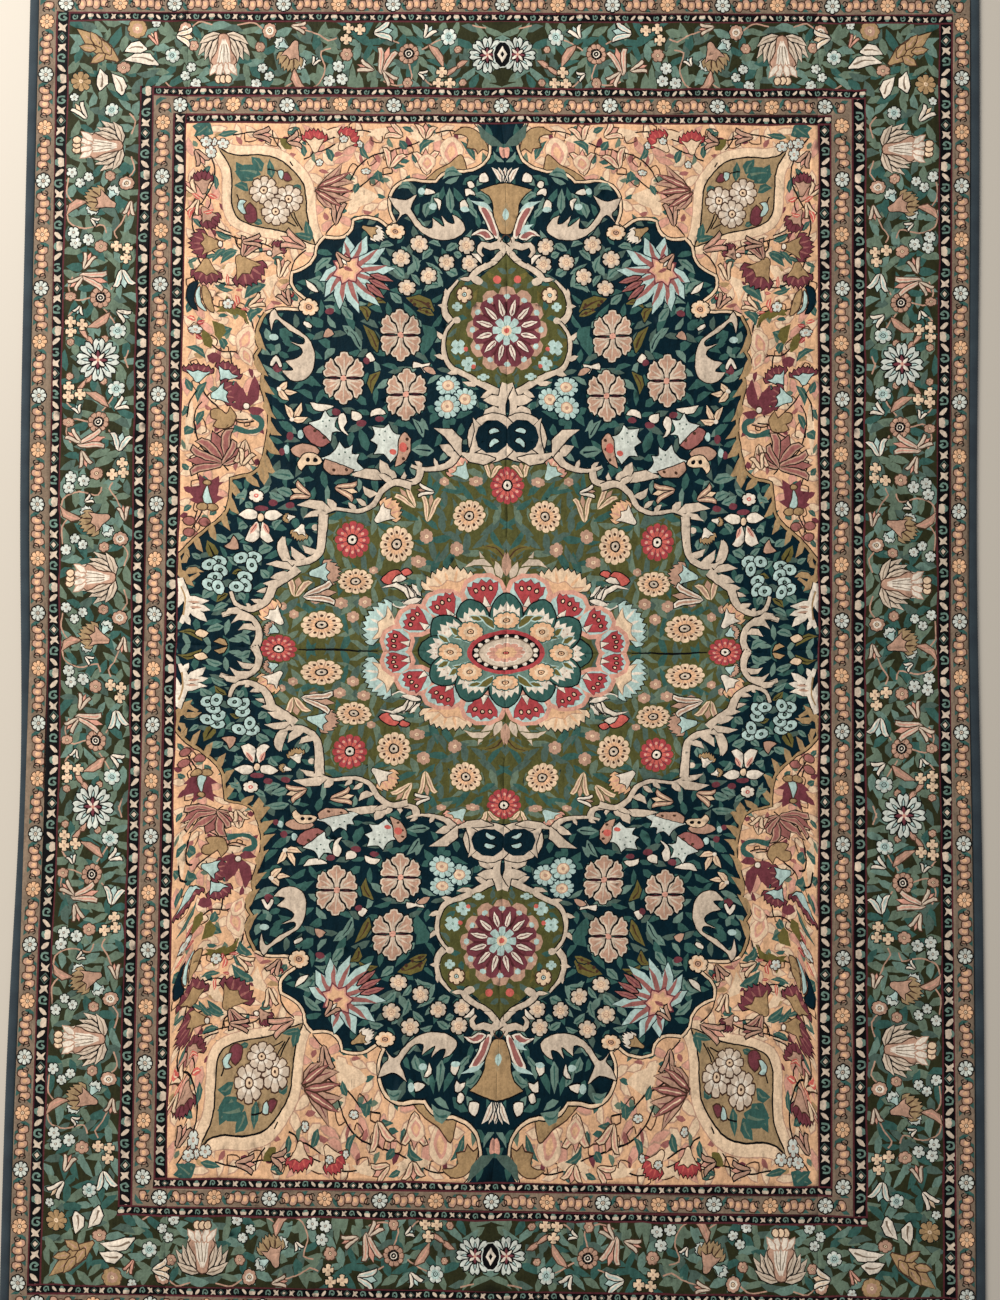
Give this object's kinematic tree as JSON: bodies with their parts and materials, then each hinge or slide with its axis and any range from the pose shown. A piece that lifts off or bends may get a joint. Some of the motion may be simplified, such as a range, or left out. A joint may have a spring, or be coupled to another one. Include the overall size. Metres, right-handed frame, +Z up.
{
  "type": "knotted pile rug",
  "caption": "Rectangular knotted pile rug with a lobed medallion, corner sprays, floral borders and a dark overcast edging, lying flat as a floor covering.",
  "frame": {"origin": "middle of the rug's underside", "axes": "+Z up from the floor, +Y along the rug's length towards the far end, +X across its width"},
  "size_m": [1.7, 2.35, 0.009],
  "materials": {
    "pile_yarn": "sheared knotted pile in many dyed colours",
    "edging_yarn": "dark blue yarn wound over edge cords"
  },
  "bodies": {
    "root": {"knotted_pile": "pile_yarn", "edging_left": "edging_yarn", "edging_right": "edging_yarn", "edging_far_end": "edging_yarn", "edging_near_end": "edging_yarn"}
  },
  "joints": []
}
